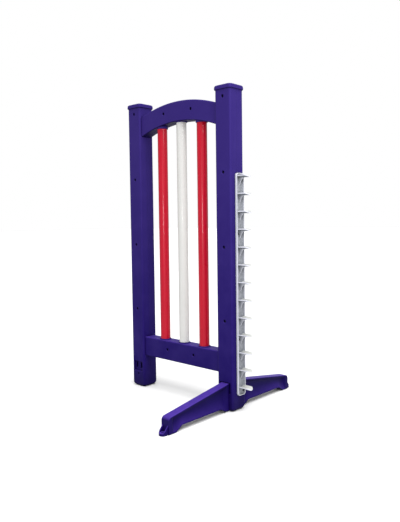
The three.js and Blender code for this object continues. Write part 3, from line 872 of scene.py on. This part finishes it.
def leg_top(out):
    return LEG_ROOT_TOP + (LEG_TIP_TOP - LEG_ROOT_TOP) * out / (LEG_REACH - LEG_EDGE)


def leg_bottom(out):
    """Underside: a low heel at the post, a raised middle and a rounded foot pad."""
    heel = 3 * MM + 12 * MM * ease((out - 12 * MM) / (28 * MM))
    pad = 15 * MM * ease((out - 204 * MM) / (32 * MM))
    return max(0.0, heel - pad)


def leg_hollow(out):
    """How far the sides are drawn in: 0 at the root flange and the foot, 1 along the middle."""
    after_root = ease((out - 0.6 * ROOT_FLANGE) / (14 * MM))
    before_foot = 1 - ease((out - RECESS_START) / (RECESS_END - RECESS_START))
    return min(after_root, before_foot)


def leg_section(out):
    """Outline in (across, height): flat top with a thin lip, hollow sides that flare to the underside."""
    top = leg_top(out)
    bottom = leg_bottom(out)
    past = max(0.0, (out - LEG_REACH + TIP_ROUND) / TIP_ROUND)
    top -= TIP_ROUND * (1 - math.sqrt(max(0.0, 1 - past ** 2)))
    hollow = leg_hollow(out)
    edge = 1.6 * MM
    side = []
    for i in range(5):
        angle = math.radians(90 * i / 4 - 90)
        side.append((LEG_HALF - edge + edge * math.cos(angle), bottom + edge + edge * math.sin(angle)))
    lip = 4.2 * MM
    foot_z = bottom + 3 * MM
    roof_z = top - lip
    steps = 12
    for i in range(steps + 1):
        share = i / steps
        depth = (LEG_HALF - LEG_WEB) * hollow * math.sin(0.5 * math.pi * min(1, share / 0.86)) ** 0.9
        if share > 0.86:
            depth *= math.cos(0.5 * math.pi * (share - 0.86) / 0.14) ** 0.6
        side.append((LEG_HALF - depth, foot_z + (roof_z - foot_z) * share))
    for i in range(5):
        angle = math.radians(90 * i / 4)
        side.append((LEG_HALF - edge + edge * math.cos(angle), top - edge + edge * math.sin(angle)))
    return side + [(-a, b) for a, b in reversed(side)]


def leg_body(at):
    stations = [0.3, 1.5, 3.5, 5.4, 7, 8.5, 10, 11.5, 13, 15, 17, 19.5, 23, 28, 33, 38, 44, 56]
    stations += list(range(70, 203, 12)) + [204, 208, 212, 216, 220, 224, 228, 232, 236, 240, 242, 244]
    stations += [246, 248, 250, 252, 253.5, 255, 256.5, 257.8, 258.9, 259.8, 260.4, 260.8, 261]
    rings = []
    for out in stations:
        rings.append([at(a, out * MM, b) for a, b in leg_section(out * MM)])
    return loft("leg", rings)


def leg_block(at, a0, a1, out0, out1, z0, z1, edge):
    corners = [at(a, out, z) for a in (a0, a1) for out in (out0, out1) for z in (z0, z1)]
    low = [min(c[i] for c in corners) for i in range(3)]
    high = [max(c[i] for c in corners) for i in range(3)]
    return soften(block("block", low, high), edge, 2)


def prong(at, side):
    """Flat prong with a low snap barb near its end."""
    outline = [(1, 68), (1, 85), (-9.5, 85), (-11.5, 87), (-13.5, 86.6), (-24, 82), (-24, 71), (-21, 68)]
    across = sorted((side * 7.4 * MM, side * 15.1 * MM))
    rings = [[at(a, out * MM, z * MM) for out, z in outline] for a in across]
    return soften(loft("prong", rings), 0.5 * MM, 2)


def peg_lug(at):
    """Half-round foot lug with a peg hole between two sloping cheeks."""
    centre = LUG_REACH - LUG_RADIUS
    outline = [(-LUG_RADIUS, LEG_REACH - 5 * MM), (LUG_RADIUS, LEG_REACH - 5 * MM)]
    for i in range(25):
        angle = math.radians(180 * i / 24)
        outline.append((LUG_RADIUS * math.cos(angle), centre + LUG_RADIUS * math.sin(angle)))
    rings = [[at(a, out, z) for a, out in outline] for z in (0, LUG_THICKNESS)]
    plate = soften(loft("plate", rings), 0.9 * MM, 3)
    slope = [(256, 1), (277, 1), (277, 8), (261, 27), (256, 27)]
    cheeks = []
    for inner, outer in ((-12, -8.5), (8.5, 12)):
        rings = [[at(a * MM, out * MM, z * MM) for out, z in slope] for a in (inner, outer)]
        cheek = soften(loft("cheek", rings), 0.7 * MM, 2)
        rings = [[at(a, out, z) for a, out in outline] for z in (-MM, 40 * MM)]
        cheeks.append(boolean(cheek, [loft("limit", rings)], "INTERSECT"))
    hole_at = at(0, centre + 2 * MM, 0)
    profile = [(PEG_HOLE, -MM), (PEG_HOLE, LUG_THICKNESS - 0.8 * MM), (PEG_HOLE + 0.8 * MM, LUG_THICKNESS),
               (PEG_HOLE + 0.8 * MM, LUG_THICKNESS + MM)]
    return join([plate, *cheeks]), turned("peg hole", hole_at, "z", profile, 32)


def build_leg(node, face):
    """face is -1 for the leg at the front of the post and 1 for the one behind it."""
    low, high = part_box(node)
    x = (low.x + high.x) / 2

    def at(across, out, z):
        return Vector((x + across, face * (HALF_POST + out), z))

    parts = [leg_body(at)]
    parts.append(leg_block(at, -LEG_HALF, LEG_HALF, -4.7 * MM, 2 * MM, 58 * MM, 89 * MM, 0.8 * MM))
    bump = [(3 * MM, face * (HALF_POST + MM)), (3 * MM, face * (HALF_POST - 2.6 * MM)),
            (2.2 * MM, face * (HALF_POST - 3.3 * MM)), (1 * MM, face * (HALF_POST - 3.5 * MM))]
    parts.append(turned("bump", (x, 0, LATCH_Z), "y", bump, 24))
    lug, hole = peg_lug(at)
    parts += [prong(at, -1), prong(at, 1), lug]
    leg = join(parts)
    boolean(leg, [hole], "DIFFERENCE")
    place(leg, node + "_body", node, LEG_PLASTIC, [node])


# ---- the object ---------------------------------------------------------------------------------

build_shells()
for cap_node in ("outer_post_cap", "inner_post_cap"):
    build_cap(cap_node)
for bar_node in BAR_NODES:
    middle = bar_node == "middle_bar"
    build_bar(bar_node, WHITE_TUBE if middle else RED_TUBE)
build_strip()
for screw_node in SHELL_SCREWS:
    build_screw(screw_node, "y", -1)
for screw_node in STRIP_SCREWS:
    build_screw(screw_node, "x", 1)
build_leg("front_leg", -1)
build_leg("rear_leg", 1)

# ---- stage --------------------------------------------------------------------------------------


def build_floor():
    size = 30.0
    floor = mesh_object("floor", [(-size, -size, 0), (size, -size, 0), (size, size, 0), (-size, size, 0)],
                        [(0, 1, 2, 3)])
    floor.data.materials.append(floor_surface("floor paint"))


def area_light(name, location, target, size, energy):
    data = bpy.data.lights.new(name, "AREA")
    data.shape = "RECTANGLE"
    data.size = size[0]
    data.size_y = size[1]
    data.energy = energy
    light = bpy.data.objects.new(name, data)
    light.location = location
    light.rotation_euler = (Vector(target) - Vector(location)).to_track_quat("-Z", "Y").to_euler()
    bpy.context.scene.collection.objects.link(light)


def build_lights():
    world = bpy.data.worlds.new("studio")
    world.use_nodes = True
    world.node_tree.nodes["Background"].inputs["Color"].default_value = (1, 1, 1, 1)
    world.node_tree.nodes["Background"].inputs["Strength"].default_value = 1.0
    bpy.context.scene.world = world
    data = bpy.data.lights.new("overhead softbox", "SUN")
    data.energy = 6.0
    data.angle = math.radians(50)
    overhead = bpy.data.objects.new("overhead softbox", data)
    overhead.rotation_euler = Vector((-0.18, 0.08, -0.98)).to_track_quat("-Z", "Y").to_euler()
    bpy.context.scene.collection.objects.link(overhead)
    area_light("side softbox", (1.3, -0.35, 1.35), (0.2, 0, 0.75), (0.6, 0.6), 16)
    area_light("front lamp", (1.05, -1.6, 0.64), (0, 0, 0.64), (0.4, 0.26), 14)


CAMERA_PLACE = (1.32588, -1.36100, 0.60079)
CAMERA_LENS = 38.904
CAMERA_SHIFT_Y = -0.01824
CAMERA_AZIMUTH = 42.991
CAMERA_ELEVATION = 3.165
CAMERA_ROLL = -0.737


def build_camera():
    data = bpy.data.cameras.new("camera")
    data.lens = CAMERA_LENS
    data.shift_y = CAMERA_SHIFT_Y
    camera = bpy.data.objects.new("camera", data)
    azimuth = math.radians(CAMERA_AZIMUTH)
    elevation = math.radians(CAMERA_ELEVATION)
    roll = math.radians(CAMERA_ROLL)
    turn = (Matrix.Rotation(azimuth, 4, "Z") @ Matrix.Rotation(math.pi / 2 - elevation, 4, "X")
            @ Matrix.Rotation(roll, 4, "Z"))
    camera.matrix_world = Matrix.Translation(CAMERA_PLACE) @ turn
    bpy.context.scene.collection.objects.link(camera)
    bpy.context.scene.camera = camera


build_floor()
build_lights()
build_camera()
bpy.context.scene.view_settings.view_transform = "Standard"
